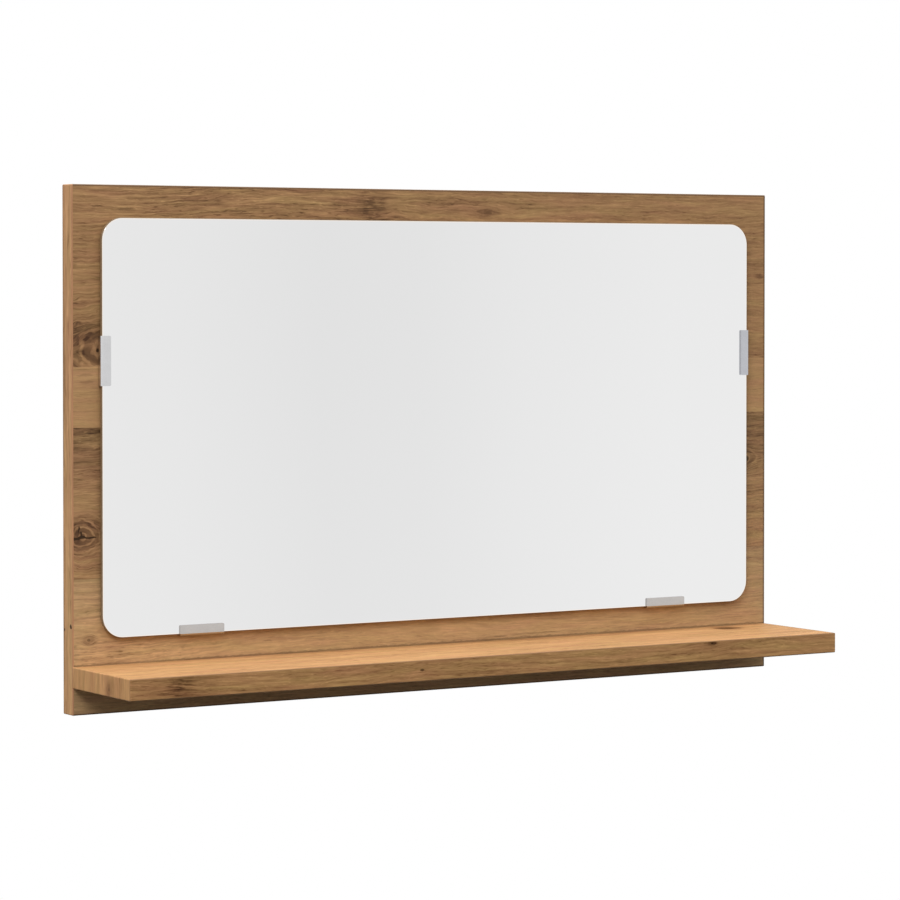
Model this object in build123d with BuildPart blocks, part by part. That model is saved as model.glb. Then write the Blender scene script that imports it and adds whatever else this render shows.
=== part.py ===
from build123d import *
import os

# A wall panel with a fixed mirror and a shelf, in millimetres.
# The origin is the middle of the panel's back face, which lies against the wall.
# +X is to the right as seen from the room, +Z is up, and the room is on the -Y side.

# Panel: a coated board with a band glued round its four edges
panel_width = 600
panel_height = 370
panel_thickness = 15
band_thickness = 1.0
arris_radius = 0.8
board_behind_holes = 3.5

# Shelf: a second board, banded on the three edges that show
shelf_depth = 90
shelf_thickness = 15
shelf_foot = 19

# Mirror: float glass with a painted silver coat on its back
mirror_side_border = 21
mirror_top_border = 23
mirror_shelf_gap = 19
mirror_thickness = 3.0
mirror_corner = 16
mirror_edge_bevel = 0.4
coat_thickness = 0.2

# Mirror clips: one strip of sheet metal bent twice round the mirror's edge
clip_sheet = 1.2
clip_inner_bend = 0.4
clip_length = 35
clip_lip = 7.7
clip_leg = 19
clip_corner = 1.0
clip_play = 0.05
side_clip_drop = 100
lower_clip_inset = 78
clip_screw_reach = 13
clip_screw_pitch = 22

# Shelf fittings: cams turn round the ball heads of bolts, with dowels beside them
fitting_inset = 60
dowel_pitch = 32
dowel_radius = 4.0
dowel_length = 30
dowel_flute = 0.4
dowel_flutes = 16
cam_bore_radius = 7.5
cam_reach = 24
cam_skin = 2.5
cam_recess = 0.2
cam_top_play = 0.3
cam_play = 0.08
cam_throw = 0.35
cam_drive_arm = 7.0
cam_drive_width = 1.5
cam_drive_depth = 2.6
cam_arrow_radius = 1.3
cam_arrow_depth = 0.4
ball_radius = 3.5
ball_play = 0.05
ball_offset = 0.75
neck_radius = 2.0
neck_play = 0.25
shank_radius = 3.0
bolt_bore_play = 0.5
bolt_core_radius = 2.3
bolt_pitch = 2.0

# Hangers: keyhole plates let into the back of the panel
hanger_inset = 60
hanger_drop = 55
hanger_thickness = 1.5
hanger_length = 60
hanger_width = 20
hanger_play = 0.2
hanger_screw_pitch = 44
keyhole_entry_radius = 5.0
keyhole_slot_radius = 2.5
keyhole_travel = 12
pocket_radius = 6.0
board_behind_pocket = 5.5

# Wood screws: a countersunk head with a cross, and a ridged shank with a point
clip_screw_head = 2.6
clip_screw_crest = 1.5
hanger_screw_head = 3.2
hanger_screw_crest = 1.75
screw_core_share = 0.68
screw_pitch = 1.4
screw_point = 2.5
cross_arm_share = 1.2
cross_width_share = 0.3
cross_depth_share = 0.32
tip_play = 0.5
fit = 0.05

# Places that follow from the sizes above
arris = min(arris_radius, 0.8 * band_thickness)
panel_top = panel_height / 2
panel_bottom = -panel_height / 2
panel_side = panel_width / 2
room_face_y = -panel_thickness
hole_depth = panel_thickness - board_behind_holes

shelf_bottom = panel_bottom + shelf_foot
shelf_top = shelf_bottom + shelf_thickness
shelf_middle = shelf_bottom + shelf_thickness / 2
shelf_front_y = room_face_y - shelf_depth

mirror_width = panel_width - 2 * mirror_side_border
mirror_bottom = shelf_top + mirror_shelf_gap
mirror_top = panel_top - mirror_top_border
mirror_height = mirror_top - mirror_bottom
mirror_middle = (mirror_top + mirror_bottom) / 2
coat_back_y = room_face_y - clip_sheet - clip_play
glass_back_y = coat_back_y - coat_thickness

clip_height = 2 * clip_sheet + 2 * clip_play + coat_thickness + mirror_thickness
clip_wall = clip_play + clip_sheet
side_clip_z = mirror_top - side_clip_drop
lower_clip_x = mirror_width / 2 - lower_clip_inset

cam_y = room_face_y - cam_reach
cam_radius = cam_bore_radius - cam_play
cam_bore_depth = shelf_thickness - cam_skin
cam_height = cam_bore_depth - cam_recess - cam_top_play
cam_bottom = shelf_bottom + cam_recess
ball_height = shelf_thickness / 2 - cam_recess
cavity_radius = ball_radius + ball_play + ball_offset + cam_throw
cavity_half_height = ball_radius + 2 * ball_play
bolt_bore_radius = ball_radius + bolt_bore_play
fitting_x = panel_side - fitting_inset
cam_places = {"left": -fitting_x, "centre": 0, "right": fitting_x}
dowel_places = [-fitting_x + dowel_pitch, -dowel_pitch, dowel_pitch, fitting_x - dowel_pitch]

hanger_x = panel_side - hanger_inset
hanger_z = panel_top - hanger_drop
hanger_places = {"left": -hanger_x, "right": hanger_x}
pocket_depth = panel_thickness - board_behind_pocket

# Flat faces that carry the holes. On each of these, local y points up.
room_face = Plane(origin=(0, room_face_y, 0), x_dir=(1, 0, 0), z_dir=(0, -1, 0))
wall_face = Plane(origin=(0, 0, 0), x_dir=(-1, 0, 0), z_dir=(0, 1, 0))
shelf_back = Plane(origin=(0, room_face_y, 0), x_dir=(-1, 0, 0), z_dir=(0, 1, 0))
shelf_underside = Plane.XY.offset(shelf_bottom)

os.makedirs("parts", exist_ok=True)


def write(shape, name):
    """Label one finished piece and write it as its own file."""
    shape.label = name
    export_step(shape, f"parts/{name}.step")


def ridges(core, crest, start, pitch, end):
    """Points up one side of a threaded shank, a shallow ridge to each turn, at about this pitch."""
    turns = max(1, round((end - start) / pitch))
    turn_height = (end - start) / turns
    points = [(core, start)]
    for turn in range(turns):
        foot = start + turn * turn_height
        points += [(crest, foot + turn_height / 2), (core, foot + turn_height)]
    return points


# Panel: the whole banded outline first, with every arris eased, then cut into board and bands
with BuildPart() as panel_outline:
    with BuildSketch(room_face):
        Rectangle(panel_width, panel_height)
    extrude(amount=-panel_thickness)
    fillet(panel_outline.edges(), radius=arris)

left_joint = Plane.YZ.offset(-panel_side + band_thickness)
right_joint = Plane.YZ.offset(panel_side - band_thickness)
top_joint = Plane.XY.offset(panel_top - band_thickness)
bottom_joint = Plane.XY.offset(panel_bottom + band_thickness)

with BuildPart() as panel_left_band:
    add(panel_outline.part)
    split(bisect_by=left_joint, keep=Keep.BOTTOM)

with BuildPart() as panel_right_band:
    add(panel_outline.part)
    split(bisect_by=right_joint, keep=Keep.TOP)

with BuildPart() as panel_between_sides:
    add(panel_outline.part)
    split(bisect_by=left_joint, keep=Keep.TOP)
    split(bisect_by=right_joint, keep=Keep.BOTTOM)

with BuildPart() as panel_top_band:
    add(panel_between_sides.part)
    split(bisect_by=top_joint, keep=Keep.TOP)

with BuildPart() as panel_bottom_band:
    add(panel_between_sides.part)
    split(bisect_by=bottom_joint, keep=Keep.BOTTOM)

# Back panel: drilled for the shelf fittings and the clips, and pocketed behind for the hangers
clip_screw_places = [
    (side * (mirror_width / 2 + clip_wall - clip_screw_reach), side_clip_z + step * clip_screw_pitch / 2)
    for side in (-1, 1)
    for step in (-1, 1)
] + [
    (side * lower_clip_x + step * clip_screw_pitch / 2, mirror_bottom - clip_wall + clip_screw_reach)
    for side in (-1, 1)
    for step in (-1, 1)
]
hanger_screw_places = [
    (x, hanger_z + step * hanger_screw_pitch / 2) for x in hanger_places.values() for step in (-1, 1)
]

with BuildPart() as back_panel:
    add(panel_between_sides.part)
    split(bisect_by=top_joint, keep=Keep.BOTTOM)
    split(bisect_by=bottom_joint, keep=Keep.TOP)
    with BuildSketch(room_face):
        with Locations(*[(x, shelf_middle) for x in cam_places.values()]):
            Circle(shank_radius + fit)
        with Locations(*[(x, shelf_middle) for x in dowel_places]):
            Circle(dowel_radius + fit)
        with Locations(*clip_screw_places):
            Circle(clip_screw_crest + fit)
    extrude(amount=-hole_depth, mode=Mode.SUBTRACT)
    with BuildSketch(wall_face):
        with Locations(*[(x, hanger_z) for x in hanger_places.values()]):
            SlotOverall(hanger_length + 2 * hanger_play, hanger_width + 2 * hanger_play, rotation=90)
    extrude(amount=-hanger_thickness, mode=Mode.SUBTRACT)
    with BuildSketch(wall_face):
        with Locations(*[(x, hanger_z) for x in hanger_places.values()]):
            SlotCenterToCenter(keyhole_travel, 2 * pocket_radius, rotation=90)
    extrude(amount=-pocket_depth, mode=Mode.SUBTRACT)
    with BuildSketch(wall_face):
        with Locations(*hanger_screw_places):
            Circle(hanger_screw_crest + fit)
    extrude(amount=-hole_depth, mode=Mode.SUBTRACT)

write(back_panel.part, "back_panel")
write(panel_left_band.part, "panel_left_band")
write(panel_right_band.part, "panel_right_band")
write(panel_top_band.part, "panel_top_band")
write(panel_bottom_band.part, "panel_bottom_band")

# Shelf: its back edge stays square against the panel, and its other arrises are eased
with BuildPart() as shelf_outline:
    with BuildSketch(shelf_underside):
        with Locations((0, room_face_y - shelf_depth / 2)):
            Rectangle(panel_width, shelf_depth)
    extrude(amount=shelf_thickness)
    back_edges = shelf_outline.faces().sort_by(Axis.Y)[-1].edges()
    fillet(shelf_outline.edges() - back_edges, radius=arris)

front_joint = Plane.XZ.offset(-shelf_front_y - band_thickness)

with BuildPart() as shelf_front_band:
    add(shelf_outline.part)
    split(bisect_by=front_joint, keep=Keep.TOP)

with BuildPart() as shelf_behind_front:
    add(shelf_outline.part)
    split(bisect_by=front_joint, keep=Keep.BOTTOM)

with BuildPart() as shelf_left_band:
    add(shelf_behind_front.part)
    split(bisect_by=left_joint, keep=Keep.BOTTOM)

with BuildPart() as shelf_right_band:
    add(shelf_behind_front.part)
    split(bisect_by=right_joint, keep=Keep.TOP)

# Shelf board: cam bores in the underside, and bolt and dowel holes in the back edge
dowel_in_shelf = dowel_length - hole_depth + 2 * tip_play

with BuildPart() as shelf_board:
    add(shelf_behind_front.part)
    split(bisect_by=left_joint, keep=Keep.TOP)
    split(bisect_by=right_joint, keep=Keep.BOTTOM)
    with BuildSketch(shelf_underside):
        with Locations(*[(x, cam_y) for x in cam_places.values()]):
            Circle(cam_bore_radius)
    extrude(amount=cam_bore_depth, mode=Mode.SUBTRACT)
    with BuildSketch(shelf_back):
        with Locations(*[(x, shelf_middle) for x in cam_places.values()]):
            Circle(bolt_bore_radius)
    extrude(amount=-cam_reach, mode=Mode.SUBTRACT)
    with BuildSketch(shelf_back):
        with Locations(*[(x, shelf_middle) for x in dowel_places]):
            Circle(dowel_radius + fit)
    extrude(amount=-dowel_in_shelf, mode=Mode.SUBTRACT)

write(shelf_board.part, "shelf_board")
write(shelf_front_band.part, "shelf_front_band")
write(shelf_left_band.part, "shelf_left_band")
write(shelf_right_band.part, "shelf_right_band")

# Mirror: a rounded sheet with ground edges, and the painted coat on its back
with BuildPart() as mirror_glass:
    with BuildSketch(Plane(origin=(0, glass_back_y, mirror_middle), x_dir=(1, 0, 0), z_dir=(0, -1, 0))):
        RectangleRounded(mirror_width, mirror_height, mirror_corner)
    extrude(amount=mirror_thickness)
    flat_sides = mirror_glass.faces().filter_by(Axis.Y)
    chamfer(flat_sides.edges(), length=mirror_edge_bevel)

with BuildPart() as mirror_coat:
    with BuildSketch(Plane(origin=(0, coat_back_y, mirror_middle), x_dir=(1, 0, 0), z_dir=(0, -1, 0))):
        RectangleRounded(
            mirror_width - 2 * mirror_edge_bevel,
            mirror_height - 2 * mirror_edge_bevel,
            mirror_corner - mirror_edge_bevel,
        )
    extrude(amount=coat_thickness)

write(mirror_glass.part, "mirror_glass")
write(mirror_coat.part, "mirror_coat")


def mirror_clip(seat):
    """A clip bent round the mirror's edge. On its seat, x points over the mirror and z out of the panel."""
    with BuildPart() as clip:
        with BuildSketch(Plane(origin=seat.origin, x_dir=seat.x_dir, z_dir=-seat.y_dir)) as strip:
            with BuildLine():
                Polyline(
                    (0, 0),
                    (clip_leg, 0),
                    (clip_leg, clip_sheet),
                    (clip_sheet, clip_sheet),
                    (clip_sheet, clip_height - clip_sheet),
                    (clip_lip, clip_height - clip_sheet),
                    (clip_lip, clip_height),
                    (0, clip_height),
                    close=True,
                )
            make_face()
            fillet(strip.vertices().group_by(Axis.X)[1], radius=clip_inner_bend)
            fillet(strip.vertices().group_by(Axis.X)[0], radius=clip_inner_bend + clip_sheet)
        extrude(amount=clip_length / 2, both=True)
        upright_edges = clip.edges().filter_by(Axis(seat.origin, seat.z_dir))
        fillet(upright_edges.filter_by(lambda edge: edge.length < 1.1 * clip_sheet), radius=clip_corner)
        with Locations(seat.offset(clip_sheet)):
            with Locations(*[(clip_screw_reach, step * clip_screw_pitch / 2) for step in (-1, 1)]):
                CounterSinkHole(
                    radius=clip_screw_crest + fit,
                    counter_sink_radius=clip_screw_head + fit,
                    depth=2 * clip_sheet,
                    counter_sink_angle=90,
                )
    return clip.part


for name, side in (("left_clip", -1), ("right_clip", 1)):
    wall_x = side * (mirror_width / 2 + clip_wall)
    seat = Plane(origin=(wall_x, room_face_y, side_clip_z), x_dir=(-side, 0, 0), z_dir=(0, -1, 0))
    write(mirror_clip(seat), name)

for name, side in (("lower_left_clip", -1), ("lower_right_clip", 1)):
    wall_z = mirror_bottom - clip_wall
    seat = Plane(origin=(side * lower_clip_x, room_face_y, wall_z), x_dir=(0, 0, 1), z_dir=(0, -1, 0))
    write(mirror_clip(seat), name)


def wood_screw(head_radius, crest_radius, length):
    """A countersunk screw with the flat of its head at the origin and its point down."""
    core = screw_core_share * crest_radius
    neck = core - head_radius
    with BuildPart() as screw:
        with BuildSketch(Plane.XZ):
            with BuildLine():
                Polyline(
                    (0, -length),
                    *ridges(core, crest_radius, screw_point - length, screw_pitch, neck),
                    (head_radius, 0),
                    (0, 0),
                    close=True,
                )
            make_face()
        revolve(axis=Axis.Z)
        with BuildSketch(Plane.XY):
            Rectangle(cross_arm_share * head_radius, cross_width_share * head_radius)
            Rectangle(cross_width_share * head_radius, cross_arm_share * head_radius)
        extrude(amount=-cross_depth_share * head_radius, mode=Mode.SUBTRACT)
    return screw.part


# Clip screws: their heads lie flush in the legs of the clips, behind the mirror
clip_screw = wood_screw(clip_screw_head, clip_screw_crest, clip_sheet + hole_depth - tip_play)

with BuildPart() as clip_screws:
    with Locations(*[room_face.offset(clip_sheet) * Location((x, z, 0)) for x, z in clip_screw_places]):
        add(clip_screw)

write(clip_screws.part, "clip_screws")


def cam_lock(foot):
    """A cast cam on its foot plane, locked, with the bolt's neck reaching in along +Y."""
    reach = cam_radius + cam_play
    ball_plane = foot.offset(ball_height)
    with BuildPart() as cam:
        with BuildSketch(foot):
            Circle(cam_radius)
        extrude(amount=cam_height)
        with BuildSketch(foot.offset(ball_height - cavity_half_height)):
            with Locations((0, -cam_throw)):
                Circle(cavity_radius)
        extrude(amount=2 * cavity_half_height, mode=Mode.SUBTRACT)
        with BuildSketch(foot.offset(ball_height - neck_radius - neck_play)):
            with Locations((-reach / 2, 0)):
                Rectangle(reach, 2 * reach)
        extrude(amount=2 * (neck_radius + neck_play), mode=Mode.SUBTRACT)
        with BuildSketch(Plane(origin=ball_plane.origin, x_dir=(1, 0, 0), z_dir=(0, 1, 0))):
            Circle(neck_radius + neck_play)
        extrude(amount=reach, mode=Mode.SUBTRACT)
        with BuildSketch(Plane(origin=ball_plane.origin, x_dir=(1, 0, 0), z_dir=(0, -1, 0))):
            Circle(ball_radius + neck_play)
        extrude(amount=reach, mode=Mode.SUBTRACT)
        with BuildSketch(foot):
            Rectangle(cam_drive_arm, cam_drive_width)
            Rectangle(cam_drive_width, cam_drive_arm)
        extrude(amount=cam_drive_depth, mode=Mode.SUBTRACT)
        with BuildSketch(foot):
            with Locations((0, -(cam_radius + cam_drive_arm / 2) / 2)):
                RegularPolygon(cam_arrow_radius, side_count=3, rotation=-90)
        extrude(amount=cam_arrow_depth, mode=Mode.SUBTRACT)
    return cam.part


for name, x in cam_places.items():
    write(cam_lock(Plane(origin=(x, cam_y, cam_bottom))), f"{name}_cam_lock")

# Cam bolts: screwed into the panel, each with a neck and a ball that its cam draws in
ball_reach = cam_reach - ball_offset
neck_start = cam_reach - cam_bore_radius
neck_end = ball_reach - (ball_radius**2 - neck_radius**2) ** 0.5
bolt_tip = tip_play - hole_depth
bolt_ridges = ridges(bolt_core_radius, shank_radius, bolt_tip + bolt_pitch / 2, bolt_pitch, 0)

with BuildPart() as cam_bolt:
    with BuildSketch(Plane.XZ):
        with BuildLine():
            Polyline(
                (0, ball_reach + ball_radius),
                (0, bolt_tip),
                *bolt_ridges,
                (shank_radius, 0),
                (shank_radius, neck_start - (shank_radius - neck_radius)),
                (neck_radius, neck_start),
                (neck_radius, neck_end),
            )
            ThreePointArc((neck_radius, neck_end), (ball_radius, ball_reach), (0, ball_reach + ball_radius))
        make_face()
    revolve(axis=Axis.Z)

with BuildPart() as cam_bolts:
    with Locations(*[room_face * Location((x, shelf_middle, 0)) for x in cam_places.values()]):
        add(cam_bolt.part)

write(cam_bolts.part, "cam_bolts")

# Shelf dowels: fluted beech pins beside the outer cams and the middle one
with BuildPart() as dowel:
    with BuildSketch(Plane.XY.offset(tip_play - hole_depth)):
        Circle(dowel_radius)
    extrude(amount=dowel_length)
    end_rims = dowel.edges().filter_by(GeomType.CIRCLE)
    chamfer(end_rims, length=2 * dowel_flute)
    with BuildSketch(Plane.XY.offset(tip_play - hole_depth)):
        with PolarLocations(dowel_radius, dowel_flutes):
            Circle(dowel_flute)
    extrude(amount=dowel_length, mode=Mode.SUBTRACT)

with BuildPart() as shelf_dowels:
    with Locations(*[room_face * Location((x, shelf_middle, 0)) for x in dowel_places]):
        add(dowel.part)

write(shelf_dowels.part, "shelf_dowels")


def hanger_plate(seat):
    """A keyhole plate let in flush with the wall face. Its slot runs up from the entry hole."""
    with BuildPart() as plate:
        with BuildSketch(seat):
            SlotOverall(hanger_length, hanger_width, rotation=90)
            SlotCenterToCenter(keyhole_travel, 2 * keyhole_slot_radius, rotation=90, mode=Mode.SUBTRACT)
            with Locations((0, -keyhole_travel / 2)):
                Circle(keyhole_entry_radius, mode=Mode.SUBTRACT)
        extrude(amount=-hanger_thickness)
        with Locations(seat):
            with Locations(*[(0, step * hanger_screw_pitch / 2) for step in (-1, 1)]):
                CounterSinkHole(
                    radius=hanger_screw_crest + fit,
                    counter_sink_radius=hanger_screw_head + fit,
                    depth=2 * hanger_thickness,
                    counter_sink_angle=90,
                )
    return plate.part


for name, x in hanger_places.items():
    seat = Plane(origin=(x, 0, hanger_z), x_dir=(-1, 0, 0), z_dir=(0, 1, 0))
    write(hanger_plate(seat), f"{name}_hanger_plate")

# Hanger screws: two through each plate, flush with the wall face
hanger_screw = wood_screw(hanger_screw_head, hanger_screw_crest, hole_depth - tip_play)

with BuildPart() as hanger_screws:
    with Locations(*[wall_face * Location((-x, z, 0)) for x, z in hanger_screw_places]):
        add(hanger_screw)

write(hanger_screws.part, "hanger_screws")
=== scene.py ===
import math
import bpy
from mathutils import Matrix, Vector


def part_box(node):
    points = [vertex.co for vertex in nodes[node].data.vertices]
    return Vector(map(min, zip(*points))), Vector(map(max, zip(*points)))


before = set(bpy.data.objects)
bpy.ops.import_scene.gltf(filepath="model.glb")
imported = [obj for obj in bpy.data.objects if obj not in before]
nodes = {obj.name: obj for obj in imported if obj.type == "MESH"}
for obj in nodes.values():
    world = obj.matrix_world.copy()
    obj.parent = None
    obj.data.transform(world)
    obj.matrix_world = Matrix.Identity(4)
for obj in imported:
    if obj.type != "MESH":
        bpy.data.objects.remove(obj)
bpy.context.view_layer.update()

bpy.ops.object.select_all(action="DESELECT")


# Back panel: a 15 mm chipboard, faced front and back with a printed oak paper under clear resin.
# The print shows planks laid across the panel, with their knots where the photograph has them,
# and the drilled holes and the pockets behind show the raw chips.
class Wire:
    """The output of a shader node, so that sums on it read as plain arithmetic."""

    def __init__(self, finish, socket):
        self.finish = finish
        self.socket = socket

    def maths(self, operation, *values):
        return self.finish.node("Math", *values, operation=operation)

    def __add__(self, other):
        return self.maths("ADD", self, other)

    def __sub__(self, other):
        return self.maths("SUBTRACT", self, other)

    def __rsub__(self, other):
        return self.maths("SUBTRACT", other, self)

    def __mul__(self, other):
        return self.maths("MULTIPLY", self, other)

    def __truediv__(self, other):
        return self.maths("DIVIDE", self, other)

    def __rtruediv__(self, other):
        return self.maths("DIVIDE", other, self)

    def __pow__(self, other):
        return self.maths("POWER", self, other)

    def __lt__(self, other):
        return self.maths("LESS_THAN", self, other)

    def __gt__(self, other):
        return self.maths("GREATER_THAN", self, other)

    def __abs__(self):
        return self.maths("ABSOLUTE", self)

    __radd__ = __add__
    __rmul__ = __mul__


class Finish:
    """One material, built node by node. Its places along X, Y and Z are in millimetres."""

    def __init__(self, name, **surface):
        self.material = bpy.data.materials.new(name)
        self.material.use_nodes = True
        self.tree = self.material.node_tree
        self.shader = self.tree.nodes["Principled BSDF"]
        for socket, value in surface.items():
            self.shader.inputs[socket.replace("_", " ")].default_value = value
        place = self.node("SeparateXYZ", self.node("TexCoord", output="Object"))
        self.x, self.y, self.z = (
            Wire(self, place.socket.node.outputs[axis]) * 1000 for axis in "XYZ"
        )

    def node(self, kind, *values, output=0, stops=None, sockets=None, **settings):
        """Add a node: its settings first, then a ramp's stops, then its sockets, in order or by name."""
        made = self.tree.nodes.new(f"ShaderNode{kind}")
        for setting, value in settings.items():
            setattr(made, setting, value)
        if stops:
            ramp = made.color_ramp.elements
            while len(ramp) < len(stops):
                ramp.new(1)
            for element, (place, colour) in zip(ramp, stops):
                element.position = place
                element.color = (*colour, 1)
        for socket, value in [*enumerate(values), *(sockets or {}).items()]:
            if isinstance(value, Wire):
                self.tree.links.new(value.socket, made.inputs[socket])
            else:
                made.inputs[socket].default_value = value
        return Wire(self, made.outputs[output])

    def vary(self, socket, value):
        """Let a value that changes over the surface drive one socket of the shader."""
        self.tree.links.new(value.socket, self.shader.inputs[socket])

    def noise(self, along, across, depth=0.0, detail=2.0, roughness=0.5):
        """Soft noise about 0, from -1 to 1, with features about one unit across."""
        where = self.node("CombineXYZ", along, across, depth)
        grain = self.node(
            "TexNoise", sockets={"Vector": where, "Scale": 1.0, "Detail": detail, "Roughness": roughness}
        )
        return (grain - 0.5) * 2

    def fade(self, value, start, end):
        """0 at start and 1 at end, smooth between them."""
        return self.node(
            "MapRange",
            interpolation_type="SMOOTHSTEP",
            sockets={"Value": value, "From Min": start, "From Max": end},
        )

    def mix(self, factor, below, above):
        """Blend two colours."""
        return self.node(
            "Mix", data_type="RGBA", sockets={0: factor, 6: below, 7: above}, output=2
        )

    def bump(self, height, depth):
        """Raise the surface by a height from 0 to 1, times a depth in metres."""
        self.vary("Normal", self.node("Bump", sockets={"Height": height, "Distance": depth}))


def tint(red, green, blue):
    """A colour given as it is seen on a screen, from 0 to 255."""
    seen = [channel / 255 for channel in (red, green, blue)]
    return tuple(c / 12.92 if c <= 0.04045 else ((c + 0.055) / 1.055) ** 2.4 for c in seen)


def opaque(red, green, blue):
    return (*tint(red, green, blue), 1)


def spread(finish, along, across, centre, size):
    """How far a point lies from the middle of an oval, squared: 0 in the middle and 1 on its rim."""
    side = (along - centre[0]) / size[0]
    rise = (across - centre[1]) / size[1]
    return side * side + rise * rise


def plank(edge=-1000.0, tone=0.0, figure=1.0, golden=0.0, desaturated=0.0, seam=0.0, clouds=(), knots=()):
    """One plank of the print, from its lower edge up to the next, and how light and bold its grain is.

    `golden` turns its colour towards yellow, in degrees, and `desaturated` takes saturation out of its
    colour. On the panel it is strongest on the lowest plank, painted there to cancel the orange light
    bounced up from the shelf. A cloud is (centre, size, lightness, boldness), and a knot is (centre, size,
    strength, rings, heart).
    """
    return {
        "edge": edge,
        "tone": tone,
        "figure": figure,
        "golden": golden,
        "desaturated": desaturated,
        "seam": seam,
        "clouds": clouds,
        "knots": knots,
    }


def oak(finish, along, across, seed, tone=0.0, figure=1.0, coarse=1.0, planks=(plank(),), cracks=()):
    """Oak grain on a flat face, with `along` running with the grain.

    It sets the gloss and relief, and gives back the colour. A crack, or a painted shadow line along a
    joint, is (centre, size, strength).
    """
    flat = across
    board = finish.node("Value") * 0 + seed
    shade = board * 0 + (0.5 + tone)
    boldness = board * 0
    marks = board * 0
    turned_yellow = board * 0
    richness = board * 0 + 1
    wobble = finish.noise(along / 5, across / 5, board, detail=2)
    sway = finish.noise(along / 20, across / 12, board, detail=2)
    mottle = finish.noise(along / 4.5, across / 2.6, board + 4.4, detail=2)
    tops = [strip["edge"] for strip in planks[1:]] + [1000.0]
    for number, (strip, top) in enumerate(zip(planks, tops)):
        within = (flat > strip["edge"]) * (flat < top)
        board = board + within * (number * 7.3)
        lightness = board * 0 + strip["tone"]
        bold = board * 0 + strip["figure"]
        for centre, size, strength, wildness in strip["clouds"]:
            cloud = spread(finish, along, flat, centre, size) * (sway + 1)
            cloud = 1 / (1 + cloud ** 2)
            lightness = lightness + cloud * (mottle * wildness * 2 + 1) * strength
            bold = bold + cloud * wildness

        # The grain flows round each knot, which is dark, with thin pale rings and a darker heart
        for centre, size, strength, rings, heart in strip["knots"]:
            near = spread(finish, along, flat, centre, size) * (sway * 0.9 + 1)
            ripple = near ** 0.5 * (2 * math.pi * rings) + wobble * 2 - 1.2
            pale = finish.fade(finish.node("Math", ripple, operation="SINE"), 0.25, 1.0)
            pale = pale * (sway * 0.5 + 0.7)
            lightness = lightness + (pale * 0.34 - 0.23) * strength / (1 + near ** 3)
            marks = marks + finish.fade(near * (wobble * 0.8 + 1), 0.14, 0.03) * heart
            across = across - within * (across - centre[1]) * 0.85 / (near * near + 1)
        seam = finish.fade(abs(flat - strip["edge"] + wobble * 0.4), 0.9, 0.2) * strip["seam"]
        shade = shade + within * lightness + seam
        boldness = boldness + within * bold * figure
        turned_yellow = turned_yellow + within * strip["golden"]
        richness = richness - within * strip["desaturated"]

    along, across = along / coarse, across / coarse
    across = across + finish.noise(along / 220, across / 55, board, detail=1) * 8
    across = across + finish.noise(along / 26, across / 11, board, detail=2) * 1.9
    broad = finish.noise(along / 120, across / 12, board, detail=3)
    bands = finish.noise(along / 58, across / 2.6, board, detail=3, roughness=0.6)
    lines = finish.noise(along / 17, across / 1.25, board + 1.7, detail=2, roughness=0.6)
    fibre = finish.noise(along / 7, across / 0.5, board, detail=3, roughness=0.65)
    wild = finish.fade(broad, 0.20, -0.20)
    dashes = finish.fade(finish.noise(along / 7, across / 0.95, board + 5.1, detail=1), 0.10, 0.45)
    rays = finish.fade(finish.noise(along / 4.5, across / 1.1, board + 8.3, detail=1), 0.18, 0.5)
    grain = broad * 0.24 + bands * 0.40 + lines * 0.40 - dashes * (wild * 0.20 + 0.06) + rays * 0.14
    shade = shade + grain * boldness + fibre * 0.14 + mottle * 0.04

    for centre, size, strength in cracks:
        mark = spread(finish, along * coarse + wobble * 0.9, flat + wobble * 1.1, centre, size)
        marks = marks + finish.fade(mark, 1.4, 0.3) * strength

    wood = finish.node(
        "ValToRGB",
        shade,
        stops=[
            (0.0, tint(78, 50, 27)),
            (0.25, tint(122, 87, 53)),
            (0.5, tint(164, 122, 79)),
            (0.75, tint(192, 147, 97)),
            (1.0, tint(216, 168, 113)),
        ],
    )
    flush = finish.noise(along / 50, across / 6, board + 3.1, detail=2)
    hue = 0.5 + turned_yellow / 360 - flush * 0.018
    wood = finish.node("HueSaturation", sockets={"Hue": hue, "Saturation": richness, "Color": wood})
    wood = finish.mix(finish.fade(marks, 0.1, 1.0), wood, opaque(50, 29, 2))
    finish.vary("Roughness", 0.60 + dashes * 0.10 - lines * 0.06)
    finish.bump(fibre * 0.3 - dashes - marks, 0.00003)
    return wood


def chipboard(finish):
    """Raw pressed chips, pale and dark, as a drill leaves them."""
    where = finish.node("CombineXYZ", finish.x, finish.y * 2.2, finish.z)
    coarse, fine = (
        finish.node("SeparateXYZ", finish.node("TexVoronoi", where, output=1, sockets={"Scale": scale}))
        for scale in (0.6, 2.1)
    )
    return finish.node(
        "ValToRGB",
        coarse * 0.6 + fine * 0.4,
        stops=[(0.15, tint(112, 84, 54)), (0.5, tint(172, 138, 96)), (0.9, tint(208, 180, 136))],
    )


def dress(node, finish):
    """Give a CAD node its finish."""
    nodes[node].data.materials.clear()
    nodes[node].data.materials.append(finish.material)


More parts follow.
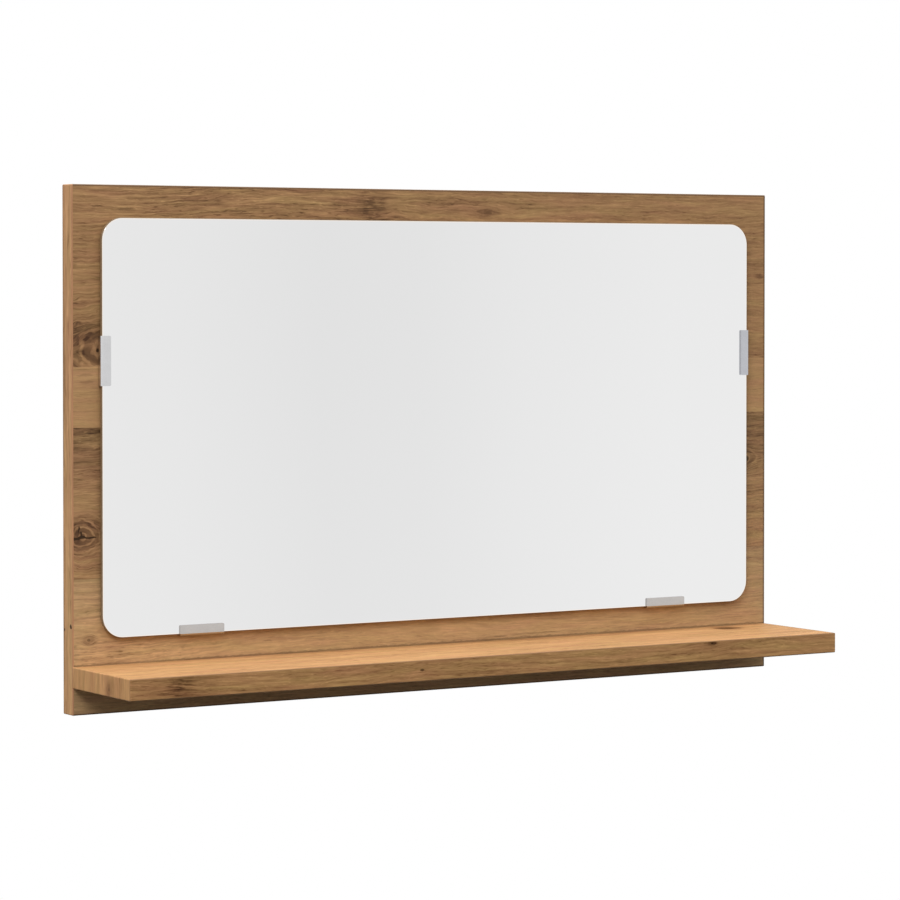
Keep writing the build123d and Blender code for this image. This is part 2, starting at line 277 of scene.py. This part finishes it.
def oak_board(name, node, across, through, shine, turned=(0, 0), **grain):
    """Oak on a board's two faces, and raw chips wherever the board is cut into.

    The print on the far face is the same paper turned over and laid elsewhere.
    """
    finish = Finish(name, Specular_IOR_Level=shine)
    low, high = ([corner.x * 1000, corner.y * 1000, corner.z * 1000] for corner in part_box(node))
    places = {"x": finish.x, "y": finish.y, "z": finish.z}
    start, end = (corner["xyz".index(through)] for corner in (low, high))
    depth = places[through]
    far = depth > (start + end) / 2
    along = finish.x * (1 - far * 2) + far * turned[0]
    face = oak(finish, along, places[across] + far * turned[1], **grain)

    # A dark line along the face's right edge and along its upper edge across the grain. On the panel it is
    # the glue line at the edge bands. On the shelf the upper edge is its back, against the panel, and there
    # the line is painted shadow of the joint.
    to_side = finish.fade(finish.x - high[0], -1.3, -0.4)
    to_top = finish.fade(places[across] - high["xyz".index(across)], -0.6, -0.1)
    glue_line_and_joint_shadow = to_side + to_top - to_side * to_top
    face = finish.mix(glue_line_and_joint_shadow * 0.55, face, opaque(92, 66, 44))
    skin = 0.15
    cut = (depth > start + skin) * (depth < end - skin)
    finish.vary("Base Color", finish.mix(cut, face, chipboard(finish)))
    dress(node, finish)


oak_board(
    "panel_oak",
    "back_panel",
    across="z",
    through="y",
    shine=0.28,
    turned=(70, 32),
    seed=2.0,
    planks=[
        plank(
            tone=0.16,
            figure=0.70,
            golden=2.5,
            desaturated=0.10,
            clouds=[
                ((-285, -112), (60, 20), 0.12, 0.1),
                ((0, -143), (330, 13), 0.10, -0.1),
                ((-262, -146), (55, 13), 0.06, 0.5),
            ],
            knots=[((-287.4, -132.7), (4.5, 3.2), 1.5, 0.0, 0.55)],
        ),
        plank(
            edge=-90.0,
            tone=0.07,
            figure=0.85,
            golden=0.5,
            desaturated=0.05,
            seam=-0.14,
            clouds=[((-290, 6), (60, 14), -0.25, 0.3), ((290, 2), (50, 17), -0.17, 0.0)],
            knots=[
                ((-292, -60), (15, 13), 1.3, 2.7, 0.0),
                ((281, -21), (11, 9), 0.9, 1.6, 0.8),
                ((60, -10), (24, 13), 0.9, 3.0, 0.8),
                ((-150, -50), (15, 10), 0.8, 2.5, 0.6),
            ],
        ),
        plank(edge=15.5, tone=0.22, figure=0.42, desaturated=0.04),
        plank(
            edge=57.6,
            tone=0.08,
            figure=0.75,
            desaturated=0.03,
            seam=0.16,
            clouds=[
                ((-296, 75), (20, 17), -0.13, 0.3),
                ((-180, 176), (110, 13), -0.03, 0.5),
                ((-58, 177), (14, 18), -0.24, 0.5),
            ],
            knots=[
                ((-279, 70), (23, 21), 1.0, 2.2, 0.0),
                ((294.5, 121.5), (4.5, 2.6), 0.7, 0.0, 0.35),
                ((42, 169), (8, 2.8), 0.6, 0.0, 0.3),
            ],
        ),
    ],
    cracks=[
        ((-279.4, 69.5), (2.0, 1.4), 0.9),
        ((-297.6, -61.8), (4.0, 1.1), 1.4),
        ((-286.5, -61.2), (5.5, 0.7), 1.1),
        ((-292.4, -60.9), (3.4, 1.1), 1.3),
        ((-293.1, -58.4), (0.7, 2.4), 1.1),
        ((-294.8, -54.9), (0.7, 2.4), 0.9),
        ((-294.0, 131.3), (7.0, 0.8), 0.4),
        ((-283.0, 128.0), (5.0, 0.8), 0.4),
        ((-290.0, 52.1), (8.0, 1.0), 0.35),
        ((-289.0, 47.2), (7.0, 1.2), 0.4),
        ((-281.0, 170.0), (5.0, 0.9), 0.5),
        ((-258.0, 168.0), (9.0, 1.0), 0.5),
        ((-145.0, -140.5), (4.0, 0.8), 0.4),
        ((53.0, -148.0), (7.0, 0.9), 0.4),
        ((84.0, -147.3), (26.0, 1.0), 0.4),
        # Painted shadow: a thin dark line across the panel just above the shelf, where the shelf's top
        # meets it
        ((0.0, -150.5), (600.0, 1.1), 0.5),
    ],
)


# Panel edge bands: 1 mm plastic edging with the same oak print, glued round the four edges.
# The print stops at the scraped arrises, where the plain brown plastic shows. Its brown is set band by band
# as painted light: paler on the bands facing the lamp on the left, and darker on the others as painted
# shade.
def oak_band(name, node, along, across, arris_brown_and_painted_light=(116, 88, 62), **grain):
    """Oak print on a band's outer face, and plain plastic along its two scraped arrises."""
    finish = Finish(name, Specular_IOR_Level=0.12)
    low, high = ([corner.x * 1000, corner.y * 1000, corner.z * 1000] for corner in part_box(node))
    places = {"x": finish.x, "y": finish.y, "z": finish.z}
    print_colour = oak(finish, places[along], places[across], **grain)
    start, end = (corner["xyz".index(across)] for corner in (low, high))
    off_middle = abs(places[across] - (start + end) / 2)
    scraped = finish.fade(off_middle, (end - start) / 2 - 0.9, (end - start) / 2 - 0.4)
    streaks = finish.noise(places[along] / 35, places[across] / 0.5, 4.0)
    dark, pale = (opaque(*(channel * lightness for channel in arris_brown_and_painted_light)) for lightness in (0.9, 1.1))
    plastic = finish.mix(finish.fade(streaks, -1, 1), dark, pale)
    finish.vary("Base Color", finish.mix(scraped, print_colour, plastic))
    dress(node, finish)


oak_band(
    "left_band_oak",
    "panel_left_band",
    along="z",
    across="y",
    arris_brown_and_painted_light=(190, 140, 104),
    seed=11.0,
    tone=0.37,
    figure=0.9,
    coarse=2.2,
    planks=[plank(golden=-1.5, desaturated=0.04, clouds=[((0, 1), (600, 3.0), -0.46, 0.0)])],
    cracks=[((-123, -12.3), (1.8, 1.3), 1.0), ((-126, -2.5), (1.3, 1.2), 0.9)],
)
oak_band("right_band_oak", "panel_right_band", along="z", across="y", seed=12.0, tone=0.08, coarse=1.8)
oak_band(
    "top_band_oak", "panel_top_band", along="x", across="y", arris_brown_and_painted_light=(132, 102, 74), seed=13.0, tone=0.08
)
oak_band("bottom_band_oak", "panel_bottom_band", along="x", across="y", seed=14.0, tone=0.05)


# Shelf board: the same faced chipboard, with its back edge left raw against the panel.
# Cam bores in its underside and holes in its back edge take the fittings.
oak_board(
    "shelf_oak",
    "shelf_board",
    across="y",
    through="z",
    shine=0.07,
    seed=21.0,
    tone=0.32,
    figure=0.9,
    coarse=1.3,
    planks=[
        plank(
            golden=-1.5,
            # Painted shade: the first cloud darkens the top towards its back edge, where the panel shades
            # it
            clouds=[((0, -15), (600, 8), -0.12, 0.0)],
            knots=[((-252, -32), (12, 9), 2.4, 0.0, 0.6), ((120, -78), (9, 6), 0.5, 1.0, 0.3)],
        )
    ],
)


# Shelf edge bands: the front one has its grain along the shelf, and the two ends have it upright
oak_band(
    "shelf_front_oak",
    "shelf_front_band",
    along="x",
    across="z",
    arris_brown_and_painted_light=(150, 114, 80),
    seed=31.0,
    tone=0.12,
    figure=0.85,
    planks=[
        plank(
            clouds=[((-264, -157), (9, 8), -0.30, 0.4), ((-250, -153), (14, 3), -0.16, 0.0)],
            knots=[((183.8, -152.7), (5, 2.5), 0.9, 0.0, 0.8)],
        )
    ],
    cracks=[((-70, -157.8), (2.0, 1.0), 0.7)],
)
oak_band(
    "shelf_left_oak",
    "shelf_left_band",
    along="z",
    across="y",
    arris_brown_and_painted_light=(172, 128, 90),
    seed=33.0,
    tone=0.30,
    figure=0.7,
    coarse=2.6,
    planks=[
        plank(
            golden=-2.0,
            clouds=[((-160, -73), (8, 6), -0.26, 0.4)],
            knots=[((-161, -72), (5, 4), 1.0, 0.0, 0.45)],
        )
    ],
)
oak_band("shelf_right_oak", "shelf_right_band", along="z", across="y", seed=34.0, tone=0.1, coarse=1.8)


# Mirror: 3 mm float glass, silvered and painted behind, with its edges ground and lightly bevelled.
# The silver shows through the front. The ground rim is coloured brown as a painted reflection of the shaded
# wood beside it, and a 1 mm margin round the face is painted cream as a painted highlight on the bevel.
glass = Finish("mirror_silver")
mirror_corner = 16
polished_skin = 0.04
painted_highlight_width = 1.0
low, high = (corner * 1000 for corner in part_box("mirror_glass"))
behind_face = glass.y - low.y
middle_z = (low.z + high.z) / 2
past_x = abs(glass.x) - (high.x - mirror_corner)
past_z = abs(glass.z - middle_z) - (high.z - middle_z - mirror_corner)
straight = glass.node("Math", past_x, past_z, operation="MAXIMUM")
round_corner = (past_x * past_x + past_z * past_z) ** 0.5
in_corner = (past_x > 0) * (past_z > 0)
from_edge = mirror_corner - in_corner * (round_corner - straight) - straight
ground = behind_face > polished_skin
margin = glass.fade(from_edge, painted_highlight_width + 0.3, painted_highlight_width - 0.3)
scratches = glass.fade(glass.noise(glass.x / 3, glass.z / 3, 1.0), -1, 1)
# Painted reflection: the ground rim is brown, the colour of the wood beside the mirror as the edge would
# reflect it
rim = glass.mix(scratches, opaque(126, 102, 74), opaque(156, 132, 104))
# Painted highlight: the margin round the face is a paler cream than the silver, a painted highlight on the
# bevel
face = glass.mix(margin, opaque(234, 234, 234), opaque(248, 241, 234))
glass.vary("Base Color", glass.mix(ground, face, rim))
glass.vary("Metallic", 1 - ground)
haze = glass.noise(glass.x / 90, glass.z / 60, 5.0, detail=3)
glass.vary("Roughness", ground * 0.35 + margin * 0.04 + haze * 0.008 + 0.016)
dress("mirror_glass", glass)

back_paint = Finish("mirror_back_paint", Roughness=0.5)
curtain = back_paint.noise(back_paint.x / 4, back_paint.z / 160, 2.0, detail=3)
speck = back_paint.noise(back_paint.x, back_paint.z, 6.0, detail=2)
runs = back_paint.fade(curtain * 0.7 + speck * 0.3, -1, 1)
back_paint.vary("Base Color", back_paint.mix(runs, opaque(84, 90, 92), opaque(116, 122, 124)))
back_paint.bump(speck, 0.00002)
dress("mirror_coat", back_paint)


# Mirror clips: 1.2 mm steel strip, bent twice, plated satin nickel and brushed along its length.
# Each is screwed to the panel through the leg that the mirror hides.
def satin_nickel(name, along, colour):
    """Fine brushed lines along one axis, under a soft sheen."""
    finish = Finish(name, Metallic=1.0)
    places = {"x": finish.x, "y": finish.y, "z": finish.z}
    side_a, side_b = (places[axis] for axis in "xyz" if axis != along)
    brushed = finish.noise(places[along] / 14, (side_a + side_b) / 0.13, 1.0, detail=3)
    worn = finish.noise(finish.x / 6, finish.z / 6, finish.y / 6, detail=2)
    dull, bright = (opaque(*(channel + change for channel in colour)) for change in (-8, 8))
    finish.vary("Base Color", finish.mix(finish.fade(brushed * 0.6 + worn * 0.4, -0.8, 0.8), dull, bright))
    finish.vary("Roughness", 0.19 + brushed * 0.06 + worn * 0.03)
    finish.bump(brushed, 0.000004)
    return finish


# All four clips are one satin nickel, and their colours differ as painted light. The left clip is paler
# where the lamp falls, the right one is darker and bluer as painted shade, and the lower two are warmer as
# a painted reflection of the shelf.
lower_clips_painted_reflection = satin_nickel("lower_clip_nickel_painted_reflection", along="x", colour=(191, 187, 184))
dress("left_clip", satin_nickel("left_clip_nickel_painted_light", along="z", colour=(206, 206, 207)))
dress("right_clip", satin_nickel("right_clip_nickel_painted_shade", along="z", colour=(186, 187, 193)))
dress("lower_left_clip", lower_clips_painted_reflection)
dress("lower_right_clip", lower_clips_painted_reflection)


# Screws and cam bolts: cold-headed steel, zinc plated, with a dull yellow bloom in the hollows
plated = Finish("zinc_plated_screws", Metallic=1.0)
bloom = plated.noise(plated.x / 1.2, plated.z / 1.2, plated.y / 1.2, detail=3)
yellowed = plated.fade(bloom, -0.6, 0.7)
plated.vary("Base Color", plated.mix(yellowed, opaque(206, 206, 204), opaque(190, 180, 152)))
plated.vary("Roughness", 0.32 + bloom * 0.08)
for screws in ("clip_screws", "hanger_screws", "cam_bolts"):
    dress(screws, plated)


# Cam locks: die-cast zinc, tumbled dull, set flush in the shelf's underside
cast = Finish("cast_zinc", Metallic=1.0)
skin_grain = cast.noise(cast.x / 0.35, cast.y / 0.35, cast.z / 0.35, detail=3)
patches = cast.noise(cast.x / 4, cast.y / 4, cast.z / 4, detail=2)
tumbled = cast.fade(patches + skin_grain * 0.5, -1, 1)
cast.vary("Base Color", cast.mix(tumbled, opaque(148, 149, 152), opaque(190, 190, 192)))
cast.vary("Roughness", 0.46 + skin_grain * 0.10)
cast.bump(skin_grain, 0.00004)
for cam in ("left_cam_lock", "centre_cam_lock", "right_cam_lock"):
    dress(cam, cast)


# Shelf dowels: fluted beech pins, with the short dark flecks of beech along them
beech = Finish("bare_beech", Roughness=0.62)
pale = beech.noise(beech.y / 18, (beech.x + beech.z) / 0.6, 3.0, detail=3)
fleck = beech.fade(beech.noise(beech.y / 1.6, (beech.x - beech.z) / 0.25, 8.0), 0.25, 0.45)
beech_colour = beech.mix(beech.fade(pale, -0.7, 0.7), opaque(196, 156, 112), opaque(222, 188, 146))
beech.vary("Base Color", beech.mix(fleck * 0.6, beech_colour, opaque(150, 104, 66)))
beech.bump(pale - fleck, 0.00003)
dress("shelf_dowels", beech)


# Keyhole hanger plates: stamped steel, bright zinc plated, let in flush with the panel's back
stamped = Finish("bright_zinc_plate", Metallic=1.0)
rolled = stamped.noise(stamped.z / 30, stamped.x / 0.3, 2.0, detail=3)
passivated = stamped.noise(stamped.x / 14, stamped.z / 14, stamped.y / 14, detail=3)
scratches = stamped.noise((stamped.x + stamped.z) / 9, (stamped.x - stamped.z) / 0.2, 7.0)
scuffs = stamped.fade(scratches, 0.35, 0.5)
zinc = stamped.mix(stamped.fade(passivated, -0.6, 0.6), opaque(196, 203, 214), opaque(214, 212, 200))
stamped.vary("Base Color", stamped.mix(scuffs * 0.5, zinc, opaque(176, 178, 182)))
stamped.vary("Roughness", 0.30 + rolled * 0.06 + scuffs * 0.12)
stamped.bump(rolled - scuffs, 0.000006)
for plate in ("left_hanger_plate", "right_hanger_plate"):
    dress(plate, stamped)


# Floor, daylight and camera, as in a plain white studio
floor_drop = 1.3
floor_reach = 3.2
bpy.ops.mesh.primitive_circle_add(
    vertices=96, radius=floor_reach, fill_type="NGON", location=(0, 0, -floor_drop)
)
floor = bpy.context.object
floor.name = "studio_floor"
floor_paint = Finish("floor_paint", Roughness=0.9)
rays = floor_paint.node("LightPath")
seen = Wire(floor_paint, rays.socket.node.outputs["Is Camera Ray"])
shone = Wire(floor_paint, rays.socket.node.outputs["Is Glossy Ray"])
floor_paint.vary("Base Color", floor_paint.mix(seen + shone, opaque(44, 43, 42), opaque(228, 228, 228)))
from_middle = floor_paint.node(
    "VectorMath", floor_paint.node("CombineXYZ", floor_paint.x, floor_paint.y), operation="LENGTH", output=1
)
floor_paint.vary("Alpha", floor_paint.fade(from_middle, floor_reach * 1000, floor_reach * 600))
floor.data.materials.append(floor_paint.material)


class Sky(Finish):
    """The light all round, built with the same nodes as a material. X, Y and Z are a direction."""

    def __init__(self, name):
        self.world = bpy.data.worlds.new(name)
        self.world.use_nodes = True
        self.tree = self.world.node_tree
        self.tree.nodes.clear()
        direction = self.node("SeparateXYZ", self.node("TexCoord", output="Generated"))
        self.x, self.y, self.z = (Wire(self, direction.socket.node.outputs[axis]) for axis in "XYZ")

    def light(self, strength):
        """White light of one strength."""
        return self.node("Background", (1, 1, 1, 1), strength)


sky = Sky("studio_white")
daylight = sky.fade(sky.z, -0.20, 0.45) * 0.76 + sky.fade(sky.z, 0.5, 1.0) * 1.3 + 0.03
whites = [(0.0, 0.98), (0.2, 0.96), (0.38, 0.92), (0.50, 0.93), (0.62, 0.965), (0.8, 1.0), (1.0, 1.0)]
sheen = sky.node(
    "ValToRGB",
    sky.node("MapRange", sockets={"Value": sky.x, "From Min": 0.42, "From Max": 0.62}),
    stops=[(place, (white, white, white)) for place, white in whites],
)
cloudy = sky.noise(sky.x * 9, sky.z * 9, sky.y * 9, detail=1)
sheen = sheen + sky.fade(sky.z, 0.02, -0.10) * 0.022 + cloudy * 0.006
paths = sky.node("LightPath").socket.node.outputs
lit = sky.node("MixShader", Wire(sky, paths["Is Glossy Ray"]), sky.light(daylight), sky.light(sheen))
shown = sky.node("MixShader", Wire(sky, paths["Is Camera Ray"]), lit, sky.light(1.0))
sky.tree.links.new(shown.socket, sky.tree.nodes.new("ShaderNodeOutputWorld").inputs["Surface"])
bpy.context.scene.world = sky.world

bpy.ops.object.light_add(type="AREA", location=(-2.1, -1.8, 1.9))
window = bpy.context.object
window.name = "studio_window"
window.data.shape = "RECTANGLE"
window.data.size = 1.3
window.data.size_y = 1.3
window.data.energy = 38
window.rotation_mode = "QUATERNION"
window.rotation_quaternion = window.location.to_track_quat("Z", "Y")

bpy.ops.object.camera_add(
    location=(-1.3601, -2.2201, 0.11684),
    rotation=(math.radians(90 - 1.2715), 0, math.radians(-31.837)),
)
camera = bpy.context.object
camera.name = "studio_camera"
camera.data.lens = 140.17
camera.data.shift_y = -0.10
bpy.context.scene.camera = camera
bpy.context.scene.view_settings.view_transform = "Standard"
